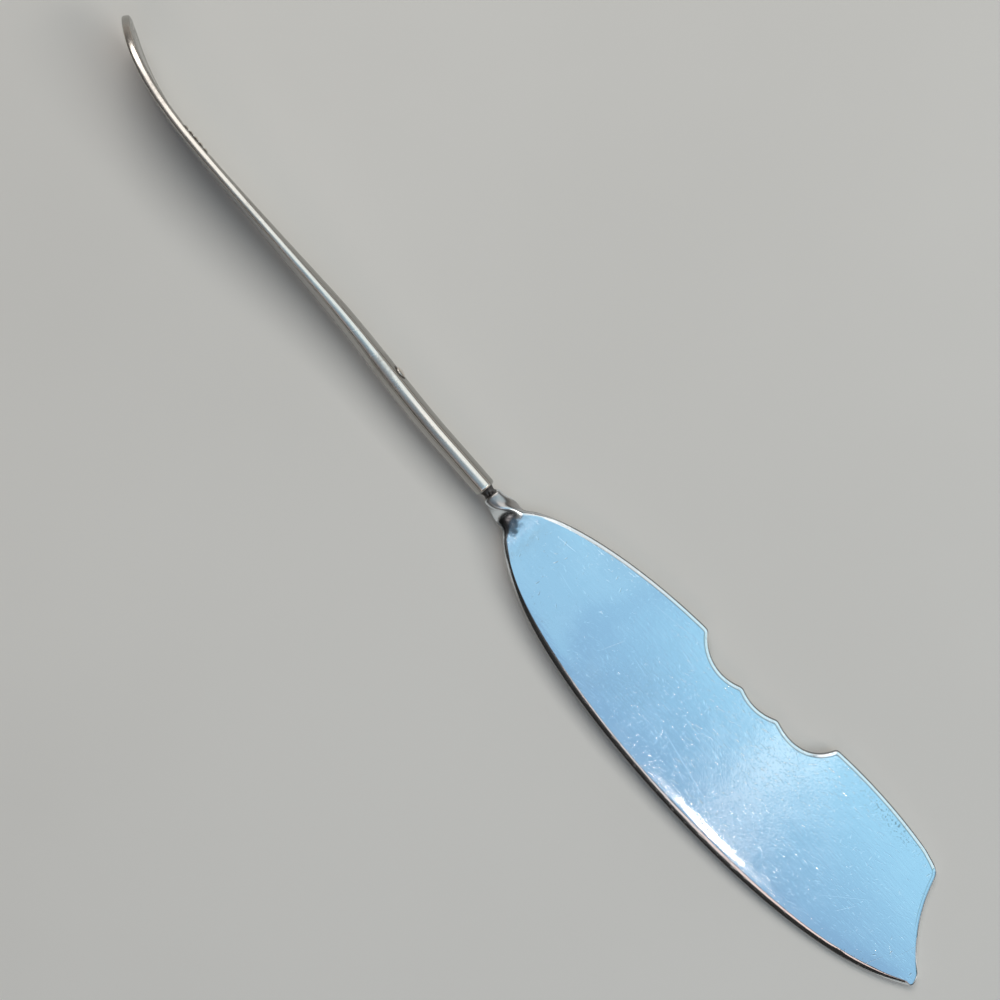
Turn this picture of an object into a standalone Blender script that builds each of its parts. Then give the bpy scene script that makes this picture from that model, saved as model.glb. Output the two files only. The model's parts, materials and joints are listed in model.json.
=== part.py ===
"""A twist-neck butter knife: a flat scalloped blade, its twisted neck, and an upright handle.

The knife is drawn lying along X, in metres. The handle runs towards -X and the blade towards +X,
with the scalloped back towards +Y. The handle's end face is at x = 0, the axis of the neck is the
X axis, and the middle of the blade's thickness is at z = 0. The finished knife is then laid on the
plane that it rests on, with the middle of its box over the origin.
"""

import math

import bmesh
import bpy
import numpy as np
from mathutils import Vector
from mathutils.geometry import interpolate_bezier

MM = 0.001

# Fit between pieces
FIT_GAP = 0.15 * MM
SOLDER_LENGTH = 0.8 * MM
SOLDER_WIDTH = 3.7 * MM
SOLDER_THICKNESS = 2.6 * MM
SOLDER_ROUNDING = 0.35 * MM

# Tang and neck of the blade blank
BLANK_THICKNESS = 1.5 * MM
BLANK_EDGE_ROUNDING = 0.55 * MM
TANG_LENGTH = 9.0 * MM
TANG_WIDTH = 2.4 * MM
NECK_WIDTH = 4.2 * MM
NECK_LENGTH = 6.2 * MM
NECK_THICKNESS = 3.0 * MM
TWIST_START = 3.2 * MM
TWIST_LENGTH = 5.6 * MM
TWIST_ANGLE = math.radians(90)

# Back of the blade, from the root to the tip
ROOT_SWEEP = (8.4 * MM, 5.1 * MM)
BACK_SWEEP = (20.6 * MM, 10.0 * MM)
FIRST_CUSP = (38.7 * MM, 11.4 * MM)
FIRST_HOLLOW_DEPTH = 1.9 * MM
SECOND_CUSP = (48.8 * MM, 9.55 * MM)
SECOND_HOLLOW_DEPTH = 0.9 * MM
THIRD_CUSP = (56.2 * MM, 10.25 * MM)
THIRD_HOLLOW_SWEEP = (60.7 * MM, 8.8 * MM)
FOURTH_CUSP_SWEEP = (64.6 * MM, 10.4 * MM)
FOURTH_CUSP = (65.7 * MM, 14.15 * MM)
BACK_CROWN = 0.55 * MM
BACK_END = (86.4 * MM, 14.3 * MM)

# Tip of the blade
TOP_CORNER = (90.3 * MM, 13.5 * MM)
TOP_CORNER_END = (91.0 * MM, 11.8 * MM)
TIP_HOLLOW_DEPTH = 1.1 * MM
POINT_START = (100.3 * MM, 0.5 * MM)
POINT_CORNER = (101.2 * MM, -1.5 * MM)
POINT_END = (99.2 * MM, -2.6 * MM)

# Cutting edge, from the tip back to the root
EDGE_TIP_SWEEP = (89.0 * MM, -8.9 * MM)
BELLY = (50.0 * MM, -11.3 * MM)
BELLY_TIP_SWEEP = 19.5 * MM
BELLY_ROOT_SWEEP = 25.0 * MM
EDGE_ROOT_SWEEP = (11.0 * MM, -7.35 * MM)

# Handle
HANDLE_LENGTH = 89.7 * MM
SHANK_WIDTH = 4.6 * MM
TERMINAL_WIDTH = 14.0 * MM
TERMINAL_END_LENGTH = 9.5 * MM
SWELL_START = 14.0 * MM
NECK_EDGE = 1.95 * MM
TERMINAL_EDGE = 1.15 * MM
EDGE_THINS_FROM = 15.0 * MM
EDGE_THINS_TO = 48.0 * MM
NECK_CROWN = 3.4 * MM
TERMINAL_CROWN = 1.5 * MM
EDGE_ROUNDING = 0.45 * MM
SHOULDER_ROUNDING = 0.5 * MM
BOW = 1.05 * MM
BOW_FROM = 10.0 * MM
BOW_TO = 38.0 * MM
CURL_START = 56.0 * MM
CURL_RISE = 5.4 * MM
CURL_POWER = 4

# Fineness of the curves
CURVE_STEPS = 14
ARC_STEPS = 10
CORNER_STEPS = 6
TWIST_STEPS = 16
FACE_STEPS = 7
EDGE_STEPS = 4
RIM_STEPS = 1
SOLDER_STEPS = 3
SHANK_STATIONS = 30
TERMINAL_STATIONS = 12
SHOULDER_STATIONS = (0.0, 0.15, 0.5)
LAST_STATION = math.radians(88)
WELD_DISTANCE = 0.01 * MM
BLADE_SMOOTH_ANGLE = math.radians(35)
HANDLE_SMOOTH_ANGLE = math.radians(50)

# Finishes
SILVER = (0.80, 0.81, 0.82, 1.0)
BLADE_ROUGHNESS = 0.26
HANDLE_ROUGHNESS = 0.2
SOLDER_GREY = (0.42, 0.42, 0.43, 1.0)
SOLDER_ROUGHNESS = 0.45


def clear_scene():
    """Remove every object that is in the scene."""
    for old in list(bpy.data.objects):
        bpy.data.objects.remove(old, do_unlink=True)


def new_collection(name):
    """Make a collection under the scene's own."""
    collection = bpy.data.collections.new(name)
    bpy.context.scene.collection.children.link(collection)
    return collection


def metal(name, colour, roughness):
    """A metal made of one Principled BSDF."""
    material = bpy.data.materials.new(name)
    material.use_nodes = True
    shader = material.node_tree.nodes["Principled BSDF"]
    shader.inputs["Base Color"].default_value = colour
    shader.inputs["Metallic"].default_value = 1.0
    shader.inputs["Roughness"].default_value = roughness
    return material


def add_object(name, mesh, collection, parent):
    """Put a mesh into a collection as an object under the resting frame."""
    piece = bpy.data.objects.new(name, mesh)
    collection.objects.link(piece)
    piece.parent = parent
    return piece


def box_mesh(name, low, high):
    """A closed box between two corners, from a cube primitive."""
    low = Vector(low)
    high = Vector(high)
    work = bmesh.new()
    bmesh.ops.create_cube(work, size=1.0)
    for vertex in work.verts:
        share = vertex.co + Vector((0.5, 0.5, 0.5))
        vertex.co = low + share * (high - low)
    mesh = bpy.data.meshes.new(name)
    work.to_mesh(mesh)
    work.free()
    return mesh


def sweep(start, start_pull, end_pull, end, steps):
    """Points along a cubic curve, without its last point."""
    knots = [Vector((x, y, 0.0)) for x, y in (start, start_pull, end_pull, end)]
    return [(p.x, p.y) for p in interpolate_bezier(*knots, steps + 1)[:-1]]


def arc(start, end, depth, steps):
    """Points along a circular arc that bulges by depth to the left of its chord, without its last point."""
    start = Vector(start)
    end = Vector(end)
    half = (end - start) / 2
    left = Vector((-half.y, half.x)).normalized()
    radius = (half.length_squared + depth ** 2) / (2 * depth)
    centre = start + half + left * (depth - radius)
    opening = 2 * math.asin(half.length / radius)
    arm = start - centre
    points = []
    for step in range(steps):
        turn = -opening * step / steps
        x = arm.x * math.cos(turn) - arm.y * math.sin(turn)
        y = arm.x * math.sin(turn) + arm.y * math.cos(turn)
        points.append((centre.x + x, centre.y + y))
    return points


def ease(value, low, high):
    """Rise smoothly from 0 at low to 1 at high."""
    share = np.clip((value - low) / (high - low), 0.0, 1.0)
    return share * share * (3 - 2 * share)


def shoulder_x():
    """Where the tang widens into the neck, just past the solder."""
    return SOLDER_LENGTH + 2 * FIT_GAP


def blank_outline():
    """The flat outline of the blade, neck and tang, once round from the tang's end along the back."""
    tang = TANG_WIDTH / 2
    neck = NECK_WIDTH / 2
    shoulder = shoulder_x()
    root_back = (NECK_LENGTH, neck)
    root_edge = (NECK_LENGTH, -neck)
    belly_tip = (BELLY[0] + BELLY_TIP_SWEEP, BELLY[1])
    belly_root = (BELLY[0] - BELLY_ROOT_SWEEP, BELLY[1])
    outline = [(-TANG_LENGTH, tang), (shoulder, tang), (shoulder, neck)]
    outline += sweep(root_back, ROOT_SWEEP, BACK_SWEEP, FIRST_CUSP, CURVE_STEPS)
    outline += arc(FIRST_CUSP, SECOND_CUSP, -FIRST_HOLLOW_DEPTH, ARC_STEPS)
    outline += arc(SECOND_CUSP, THIRD_CUSP, -SECOND_HOLLOW_DEPTH, ARC_STEPS)
    outline += sweep(THIRD_CUSP, THIRD_HOLLOW_SWEEP, FOURTH_CUSP_SWEEP, FOURTH_CUSP, ARC_STEPS)
    outline += arc(FOURTH_CUSP, BACK_END, BACK_CROWN, ARC_STEPS)
    outline += sweep(BACK_END, TOP_CORNER, TOP_CORNER, TOP_CORNER_END, CORNER_STEPS)
    outline += arc(TOP_CORNER_END, POINT_START, -TIP_HOLLOW_DEPTH, ARC_STEPS)
    outline += sweep(POINT_START, POINT_CORNER, POINT_CORNER, POINT_END, CORNER_STEPS)
    outline += sweep(POINT_END, EDGE_TIP_SWEEP, belly_tip, BELLY, CURVE_STEPS)
    outline += sweep(BELLY, belly_root, EDGE_ROOT_SWEEP, root_edge, CURVE_STEPS)
    outline += [root_edge, (shoulder, -neck), (shoulder, -tang), (-TANG_LENGTH, -tang)]
    return outline


def neck_swell(x):
    """How far each face of the neck stands out past the blank's usual thickness; the tang stays thin."""
    if x < shoulder_x() - FIT_GAP / 4:
        return 0.0
    fullness = 1.0 - ease(x, TWIST_START, TWIST_START + TWIST_LENGTH)
    return fullness * (NECK_THICKNESS - BLANK_THICKNESS) / 2


def blank_mesh(name, origin_x):
    """The flat blank with rounded rims and a thick neck, measured from origin_x, with cuts for the twist."""
    curve = bpy.data.curves.new(name, "CURVE")
    curve.dimensions = "2D"
    curve.fill_mode = "BOTH"
    curve.extrude = BLANK_THICKNESS / 2 - BLANK_EDGE_ROUNDING
    curve.bevel_depth = BLANK_EDGE_ROUNDING
    curve.bevel_resolution = RIM_STEPS
    curve.offset = -BLANK_EDGE_ROUNDING
    outline = blank_outline()
    spline = curve.splines.new("POLY")
    spline.points.add(len(outline) - 1)
    for point, (x, y) in zip(spline.points, outline):
        point.co = (x - origin_x, y, 0.0, 1.0)
    spline.use_cyclic_u = True
    drawn = bpy.data.objects.new(name + "_outline", curve)
    bpy.context.scene.collection.objects.link(drawn)
    depsgraph = bpy.context.evaluated_depsgraph_get()
    mesh = bpy.data.meshes.new_from_object(drawn.evaluated_get(depsgraph))
    bpy.data.objects.remove(drawn, do_unlink=True)
    work = bmesh.new()
    work.from_mesh(mesh)
    bmesh.ops.remove_doubles(work, verts=work.verts, dist=WELD_DISTANCE)
    cuts = [shoulder_x() - FIT_GAP / 2]
    cuts += list(np.linspace(TWIST_START, TWIST_START + TWIST_LENGTH, TWIST_STEPS + 1))
    for x in cuts:
        everything = work.verts[:] + work.edges[:] + work.faces[:]
        place = (x - origin_x, 0.0, 0.0)
        bmesh.ops.bisect_plane(work, geom=everything, plane_co=place, plane_no=(1, 0, 0))
    bmesh.ops.remove_doubles(work, verts=work.verts, dist=WELD_DISTANCE)
    for vertex in work.verts:
        vertex.co.z += math.copysign(neck_swell(vertex.co.x + origin_x), vertex.co.z)
    bmesh.ops.triangulate(work, faces=work.faces)
    bmesh.ops.recalc_face_normals(work, faces=work.faces)
    work.to_mesh(mesh)
    work.free()
    return mesh


def make_blade(collection, parent):
    """The flat blank, turned about the neck's axis so that its tang stands upright."""
    origin_x = TWIST_START + TWIST_LENGTH
    mesh = blank_mesh("blade", origin_x)
    blade = add_object("blade", mesh, collection, parent)
    blade.location.x = origin_x
    xs = [vertex.co.x for vertex in mesh.vertices]
    span = max(xs) - min(xs)
    twist = blade.modifiers.new("quarter_twist", "SIMPLE_DEFORM")
    twist.deform_method = "TWIST"
    twist.deform_axis = "X"
    twist.limits = ((-TWIST_LENGTH - min(xs)) / span, -min(xs) / span)
    twist.angle = -TWIST_ANGLE
    mesh.materials.append(metal("blade_silver", SILVER, BLADE_ROUGHNESS))
    mesh.shade_smooth()
    mesh.set_sharp_from_angle(angle=BLADE_SMOOTH_ANGLE)
    return blade


def round_off(value, low, high):
    """Stay at 1 up to low, then fall to 0 at high along a quarter circle."""
    share = np.clip((value - low) / (high - low), 0.0, 1.0)
    return np.sqrt(1.0 - share * share)


def handle_path(along):
    """Centre and direction of the handle at a distance from its neck end: a slight bow, then the curl."""
    curl_length = HANDLE_LENGTH - CURL_START
    share = max(0.0, along - CURL_START) / curl_length
    y = BOW * ease(along, BOW_FROM, BOW_TO) + CURL_RISE * share ** CURL_POWER
    turn = math.atan(CURL_POWER * CURL_RISE / curl_length * share ** (CURL_POWER - 1))
    return -along, y, turn


def handle_section(along):
    """Ring of (sideways, upward) points round the handle at a distance from its neck end."""
    swell_end = HANDLE_LENGTH - TERMINAL_END_LENGTH
    width = SHANK_WIDTH + (TERMINAL_WIDTH - SHANK_WIDTH) * ease(along, SWELL_START, swell_end)
    edge = NECK_EDGE + (TERMINAL_EDGE - NECK_EDGE) * ease(along, EDGE_THINS_FROM, EDGE_THINS_TO)
    crown = NECK_CROWN + (TERMINAL_CROWN - NECK_CROWN) * ease(along, EDGE_THINS_FROM, swell_end)
    trim = SHOULDER_ROUNDING * (1 - round_off(SHOULDER_ROUNDING - along, 0.0, SHOULDER_ROUNDING))
    half = width / 2 * round_off(along, swell_end, HANDLE_LENGTH) - trim
    thin = round_off(along, HANDLE_LENGTH - TERMINAL_EDGE / 2, HANDLE_LENGTH)
    lip = (edge / 2 - trim) * thin
    bulge = (crown - edge) / 2 * min(1.0, 2 * half / width)
    cap = min(EDGE_ROUNDING, half / 2)
    across = np.linspace(1.0, -1.0, FACE_STEPS)
    face = np.column_stack([lip + bulge * (1 - across ** 2), across * (half - cap)])
    turn = np.linspace(0.0, math.pi, EDGE_STEPS + 1)[1:-1]
    under = np.column_stack([lip * np.cos(turn), cap - half - cap * np.sin(turn)])
    side = np.vstack([face, under])
    return np.vstack([side, -side])


def handle_mesh(name):
    """Loft of the handle's rings along its path, closed at both ends."""
    swell_end = HANDLE_LENGTH - TERMINAL_END_LENGTH
    shoulder = SHOULDER_ROUNDING * np.array(SHOULDER_STATIONS)
    shank = np.linspace(SHOULDER_ROUNDING, swell_end, SHANK_STATIONS)
    closing = np.sin(np.linspace(0.0, LAST_STATION, TERMINAL_STATIONS + 1)[1:])
    terminal = swell_end + TERMINAL_END_LENGTH * closing
    stations = np.concatenate([shoulder, shank, terminal])
    work = bmesh.new()
    rings = []
    for along in stations:
        x, y, turn = handle_path(along)
        ring = []
        for sideways, upward in handle_section(along):
            place = (x + sideways * math.sin(turn), y + sideways * math.cos(turn), upward)
            ring.append(work.verts.new(place))
        rings.append(ring)
    for ring, following in zip(rings, rings[1:]):
        for i in range(len(ring)):
            j = (i + 1) % len(ring)
            work.faces.new((ring[i], ring[j], following[j], following[i]))
    work.faces.new(rings[0])
    work.faces.new(rings[-1])
    bmesh.ops.recalc_face_normals(work, faces=work.faces)
    mesh = bpy.data.meshes.new(name)
    work.to_mesh(mesh)
    work.free()
    return mesh


def make_tang_cutter(collection, parent):
    """The tang's own box, larger by the fit gap, which opens the mortise and the hole through the solder."""
    half_y = BLANK_THICKNESS / 2 + FIT_GAP
    half_z = TANG_WIDTH / 2 + FIT_GAP
    low = (-TANG_LENGTH - FIT_GAP, -half_y, -half_z)
    high = (shoulder_x(), half_y, half_z)
    cutter = add_object("tang_cutter", box_mesh("tang_cutter", low, high), collection, parent)
    cutter.display_type = "WIRE"
    cutter.hide_render = True
    return cutter


def cut(piece, cutter):
    """Take the cutter's shape out of a piece."""
    opening = piece.modifiers.new("tang_hole", "BOOLEAN")
    opening.operation = "DIFFERENCE"
    opening.solver = "EXACT"
    opening.object = cutter


def make_handle(collection, parent, cutter):
    """The upright shank with its curled, swelling end and the mortise for the tang."""
    mesh = handle_mesh("handle")
    handle = add_object("handle", mesh, collection, parent)
    cut(handle, cutter)
    mesh.materials.append(metal("handle_silver", SILVER, HANDLE_ROUGHNESS))
    mesh.shade_smooth()
    mesh.set_sharp_from_angle(angle=HANDLE_SMOOTH_ANGLE)
    return handle


def make_solder_collar(collection, parent, cutter):
    """The rounded bead of solder round the tang, between the handle's end and the neck's shoulder."""
    low = (FIT_GAP, -SOLDER_THICKNESS / 2, -SOLDER_WIDTH / 2)
    high = (FIT_GAP + SOLDER_LENGTH, SOLDER_THICKNESS / 2, SOLDER_WIDTH / 2)
    mesh = box_mesh("solder_collar", low, high)
    collar = add_object("solder_collar", mesh, collection, parent)
    rounding = collar.modifiers.new("rounding", "BEVEL")
    rounding.width = SOLDER_ROUNDING
    rounding.segments = SOLDER_STEPS
    cut(collar, cutter)
    mesh.materials.append(metal("solder_grey", SOLDER_GREY, SOLDER_ROUGHNESS))
    return collar


def world_points(pieces):
    """Every finished vertex of some pieces, as rows of world coordinates."""
    bpy.context.view_layer.update()
    depsgraph = bpy.context.evaluated_depsgraph_get()
    rows = []
    for piece in pieces:
        finished = piece.evaluated_get(depsgraph)
        mesh = finished.to_mesh()
        rows += [tuple(piece.matrix_world @ vertex.co) for vertex in mesh.vertices]
        finished.to_mesh_clear()
    return np.array(rows)


def lay_on_table(rest, pieces):
    """Turn the knife onto the three points it rests on, then centre its box over the origin."""
    x, y, turn = handle_path(HANDLE_LENGTH - TERMINAL_END_LENGTH)
    heel = Vector((x, y, -TERMINAL_WIDTH / 2))
    point = Vector((*POINT_END, -BLANK_THICKNESS / 2))
    corner = Vector((*TOP_CORNER_END, -BLANK_THICKNESS / 2))
    upright = (point - heel).cross(corner - heel).normalized()
    rest.rotation_mode = "QUATERNION"
    rest.rotation_quaternion = upright.rotation_difference(Vector((0.0, 0.0, 1.0)))
    points = world_points(pieces)
    low = points.min(axis=0)
    high = points.max(axis=0)
    rest.location = (-(low[0] + high[0]) / 2, -(low[1] + high[1]) / 2, -low[2])


def main():
    """Build the knife and lay it on its resting plane."""
    clear_scene()
    knife = new_collection("butter_knife")
    cutters = new_collection("cutters")
    rest = bpy.data.objects.new("resting_frame", None)
    knife.objects.link(rest)
    cutter = make_tang_cutter(cutters, rest)
    pieces = [
        make_blade(knife, rest),
        make_handle(knife, rest, cutter),
        make_solder_collar(knife, rest, cutter),
    ]
    lay_on_table(rest, pieces)


main()
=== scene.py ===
# %% [markdown]
# # A twist-neck butter knife
#
# This knife is three pieces of metal. A flat blade with a scalloped back ends in a thick neck that is
# turned a quarter turn. A handle that stands on its edge swells towards its end and curls to one side.
# A thin bead of solder joins the two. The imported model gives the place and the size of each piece, and
# this file dresses it: finer surfaces of the same sizes, silver finishes, a pale floor and soft light.

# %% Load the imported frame
import json
import math

import bmesh
import bpy
import numpy as np
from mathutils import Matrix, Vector


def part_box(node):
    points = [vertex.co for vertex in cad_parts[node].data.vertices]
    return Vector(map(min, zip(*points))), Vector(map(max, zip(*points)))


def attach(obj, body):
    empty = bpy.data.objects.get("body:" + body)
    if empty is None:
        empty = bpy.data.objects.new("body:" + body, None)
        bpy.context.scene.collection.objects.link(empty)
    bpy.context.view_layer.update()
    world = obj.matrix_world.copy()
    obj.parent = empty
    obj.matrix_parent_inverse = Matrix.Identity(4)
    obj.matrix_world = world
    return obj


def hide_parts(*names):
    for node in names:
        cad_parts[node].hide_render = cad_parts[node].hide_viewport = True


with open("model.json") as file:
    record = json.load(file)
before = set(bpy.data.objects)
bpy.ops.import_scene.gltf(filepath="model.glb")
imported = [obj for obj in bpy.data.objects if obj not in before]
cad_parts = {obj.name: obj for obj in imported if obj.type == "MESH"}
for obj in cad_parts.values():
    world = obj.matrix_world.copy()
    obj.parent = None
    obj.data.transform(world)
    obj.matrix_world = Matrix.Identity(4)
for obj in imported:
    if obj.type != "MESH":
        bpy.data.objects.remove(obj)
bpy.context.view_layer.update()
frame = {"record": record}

# %% [markdown]
# ## Where the knife lies
#
# The blade was drawn flat, with its length along X, its scalloped back towards +Y and its faces up and
# down. At rest the knife leans a little, because the handle's end is taller than the blade is thick.
# The record's mount on the underside tells how: its axis is the blade's own downward direction, and its
# position is a known point of the drawing. One turn and one shift then carry the drawing to its place.

# %% The turn and the shift from the drawing to the floor
MM = 0.001
BLANK_THICKNESS = 1.5
MOUNT_ALONG_BLADE = 60.0

underside = frame["record"]["mounts"][0]
face_up = -Vector(underside["axis"])
lean = np.array(Vector((0.0, 0.0, 1.0)).rotation_difference(face_up).to_matrix())
mount_drawn = np.array([MOUNT_ALONG_BLADE, 0.0, -BLANK_THICKNESS / 2])
shift = np.array(underside["pos_m"]) - lean @ mount_drawn * MM


def lay_down(drawn):
    """Place on the floor: the drawn point in millimetres, made metres, turned by the lean, then shifted."""
    return drawn @ lean.T * MM + shift


print("lean of the blade in degrees:", round(math.degrees(face_up.angle(Vector((0, 0, 1)))), 2))

# %% [markdown]
# ## The camera
#
# The picture was taken from straight above, so the camera looks down and is only turned about its own
# line of sight. A camera close to the floor shows a little of the handle's sides and makes the raised
# neck look larger than the tip, as a hand-held one does.

# %% Camera straight above the neck
CAMERA_OVER = (2.6, 0.5, 0.0)
CAMERA_HEIGHT = 0.320
CAMERA_TURN = 48.66
FLOOR_WIDTH_SEEN = 0.15476

lens = bpy.data.cameras.new("camera")
lens.lens = lens.sensor_width * CAMERA_HEIGHT / FLOOR_WIDTH_SEEN
camera = bpy.data.objects.new("camera", lens)
bpy.context.scene.collection.objects.link(camera)
over = lay_down(np.array(CAMERA_OVER))
camera.location = (over[0], over[1], CAMERA_HEIGHT)
camera.rotation_euler = (0.0, 0.0, math.radians(CAMERA_TURN))
bpy.context.scene.camera = camera
print("lens in mm:", round(lens.lens, 1), "over", over[:2].round(5))

# %% [markdown]
# ## The blade's outline
#
# A blade like this is sawn or stamped from sheet, so everything starts with one line. The line is made
# of straight runs, smooth sweeps and shallow arcs between a few points that were read as sizes from the
# photograph. Its corners are then softened a little, because polishing rounds every corner of silver.

# %% Curves that the outline is made of
def cubic(start, first_pull, last_pull, end, count=60):
    """Sweep between two points: the four points weighted by (1-t)^3, 3t(1-t)^2, 3t^2(1-t) and t^3."""
    t = np.linspace(0.0, 1.0, count)[:, None]
    weights = np.hstack([(1 - t) ** 3, 3 * t * (1 - t) ** 2, 3 * t**2 * (1 - t), t**3])
    return weights @ np.array([start, first_pull, last_pull, end])


def arc(start, end, rise, count=40):
    """Part of a circle through two points that stands the rise off their chord, to the left of it."""
    start, end = np.array(start), np.array(end)
    half_chord = (end - start) / 2
    half = np.hypot(*half_chord)
    radius = (half**2 + rise**2) / (2 * rise)
    centre = start + half_chord + np.array([-half_chord[1], half_chord[0]]) / half * (rise - radius)
    turn = -2 * math.asin(half / radius) * np.linspace(0.0, 1.0, count)[:, None]
    arm = start - centre
    swung = [arm[0] * np.cos(turn) - arm[1] * np.sin(turn), arm[0] * np.sin(turn) + arm[1] * np.cos(turn)]
    return centre + np.hstack(swung)


def ease(value, low, high):
    """Smooth step from 0 at low to 1 at high: 3s^2 - 2s^3, where s is the clamped share of the way."""
    s = np.clip((value - low) / (high - low), 0.0, 1.0)
    return s * s * (3 - 2 * s)


def hump(value, middle, reach):
    """Bell curve that is 1 at its middle: e to the power -s^2, where s is the distance off it over the reach."""
    return np.exp(-(((value - middle) / reach) ** 2))


# %% The outline's sizes, in millimetres
FIT_GAP = 0.15
SOLDER_LENGTH = 0.8
SHOULDER = SOLDER_LENGTH + 2 * FIT_GAP
NECK_WIDTH = 4.2
NECK_LENGTH = 6.2
ROOT_SWEEP = (8.4, 5.1)
BACK_SWEEP = (20.6, 10.0)
FIRST_CUSP = (38.7, 11.4)
FIRST_HOLLOW_DEPTH = 1.9
SECOND_CUSP = (48.8, 9.55)
SECOND_HOLLOW_DEPTH = 0.9
THIRD_CUSP = (56.2, 10.25)
THIRD_HOLLOW_SWEEP = (60.7, 8.8)
FOURTH_CUSP_SWEEP = (64.6, 10.4)
FOURTH_CUSP = (65.7, 14.15)
BACK_CROWN = 0.55
BACK_END = (86.4, 14.3)
TOP_CORNER = (90.3, 13.5)
TOP_CORNER_END = (91.0, 11.8)
TIP_HOLLOW_DEPTH = 1.1
POINT_START = (100.3, 0.5)
POINT_CORNER = (101.2, -1.5)
POINT_END = (99.2, -2.6)
EDGE_TIP_SWEEP = (89.0, -8.9)
BELLY = (50.0, -11.3)
BELLY_TIP_PULL = (BELLY[0] + 19.5, BELLY[1])
BELLY_ROOT_PULL = (BELLY[0] - 25.0, BELLY[1])
EDGE_ROOT_SWEEP = (11.0, -7.35)

back_root = (NECK_LENGTH, NECK_WIDTH / 2)
edge_root = (NECK_LENGTH, -NECK_WIDTH / 2)
drawn_outline = np.vstack([
    [(SHOULDER, NECK_WIDTH / 2)],
    cubic(back_root, ROOT_SWEEP, BACK_SWEEP, FIRST_CUSP),
    arc(FIRST_CUSP, SECOND_CUSP, -FIRST_HOLLOW_DEPTH),
    arc(SECOND_CUSP, THIRD_CUSP, -SECOND_HOLLOW_DEPTH),
    cubic(THIRD_CUSP, THIRD_HOLLOW_SWEEP, FOURTH_CUSP_SWEEP, FOURTH_CUSP),
    arc(FOURTH_CUSP, BACK_END, BACK_CROWN),
    cubic(BACK_END, TOP_CORNER, TOP_CORNER, TOP_CORNER_END),
    arc(TOP_CORNER_END, POINT_START, -TIP_HOLLOW_DEPTH),
    cubic(POINT_START, POINT_CORNER, POINT_CORNER, POINT_END),
    cubic(POINT_END, EDGE_TIP_SWEEP, BELLY_TIP_PULL, BELLY),
    cubic(BELLY, BELLY_ROOT_PULL, EDGE_ROOT_SWEEP, edge_root),
    [(SHOULDER, -NECK_WIDTH / 2)],
])
print("points drawn:", len(drawn_outline))

# %% Even steps along the outline, and its corners softened
OUTLINE_STEP = 0.05
CUSP_SOFTNESS = 0.36
ROOT_SOFTNESS = 0.5
ROOT_ENDS = (10.0, 16.0)


def run_along(line):
    """Distance along a line of points: the running sum of the hops between them, from 0."""
    return np.concatenate([[0.0], np.cumsum(np.hypot(*np.diff(line, axis=0).T))])


def pick(line, places):
    """Points of a line at given distances along it, on the straight hops between its points."""
    along = run_along(line)
    return np.stack([np.interp(places, along, line[:, axis]) for axis in range(2)], axis=-1)


def soften(line, reach):
    """Each point becomes the mean of its neighbours under a bell curve; beyond each end the line is mirrored."""
    half = int(3 * reach / OUTLINE_STEP)
    bell = np.exp(-0.5 * (np.arange(-half, half + 1) * OUTLINE_STEP / reach) ** 2)
    longer = np.pad(line, ((half, half), (0, 0)), mode="reflect", reflect_type="odd")
    return np.stack([np.convolve(longer[:, axis], bell / bell.sum(), "valid") for axis in range(2)], axis=-1)


perimeter = run_along(drawn_outline)[-1]
crisp = pick(drawn_outline, np.linspace(0.0, perimeter, int(perimeter / OUTLINE_STEP)))
at_root = 1 - ease(crisp[:, :1], *ROOT_ENDS)
outline = soften(crisp, ROOT_SOFTNESS) * at_root + soften(crisp, CUSP_SOFTNESS) * (1 - at_root)
print("outline in mm:", round(perimeter, 1), "with", len(outline), "points")

# %% [markdown]
# ## The blade's face as a four-sided patch
#
# The outline is cut at the two corners of the tip, which gives four sides: the scalloped back, the
# hollow tip, the cutting edge and the short end at the neck. A grid is stretched between them. Its lines
# crowd together near the outline, where the metal turns over its edge, and wherever the outline bends.

# %% Four sides of the patch
top_corner = np.argmin(np.hypot(*(outline - TOP_CORNER).T))
point_corner = np.argmin(np.hypot(*(outline - POINT_CORNER).T))
back_side = outline[: top_corner + 1]
tip_side = outline[top_corner : point_corner + 1]
edge_side = outline[point_corner:][::-1]
print("sides in mm:", [round(run_along(side)[-1], 1) for side in (back_side, tip_side, edge_side)])

# %% Stations along the back, closer together where it bends, at the neck and at the tip
STATIONS_PER_MM = 1.5
BEND_STATIONS = 5.0
NECK_STATIONS = 5.0
NECK_STATIONS_END = (10.0, 14.0)
TIP_STATIONS = 14.0
TIP_CROWDING = 0.8

heading = np.unwrap(np.arctan2(*np.gradient(back_side, axis=0).T[::-1]))
bend = np.abs(np.gradient(heading)) / OUTLINE_STEP
from_tip = run_along(back_side)[-1] - run_along(back_side)
crowding = STATIONS_PER_MM + BEND_STATIONS * bend
crowding += NECK_STATIONS * (1 - ease(back_side[:, 0], *NECK_STATIONS_END))
crowding += TIP_STATIONS * np.exp(-from_tip / TIP_CROWDING)
share = run_along(np.column_stack([np.cumsum(crowding) * OUTLINE_STEP, 0 * crowding]))
stations = np.interp(np.linspace(0.0, share[-1], int(share[-1])), share, run_along(back_side))
back = pick(back_side, stations)
print("stations:", len(back))

# %% The matching stations along the cutting edge
STRETCH_FROM = 50.0

reach_past = edge_side[-1, 0] - back[-1, 0]
edge_x = back[:, 0] + reach_past * ease(back[:, 0], STRETCH_FROM, 2 * back[-1, 0] - STRETCH_FROM) * 2
edge_x[0] = edge_side[0, 0]
edge_x[-1] = edge_side[-1, 0]
edge = np.column_stack([edge_x, np.interp(edge_x, edge_side[:, 0], edge_side[:, 1])])
print("cutting edge ends at", edge[-1].round(2))

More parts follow.
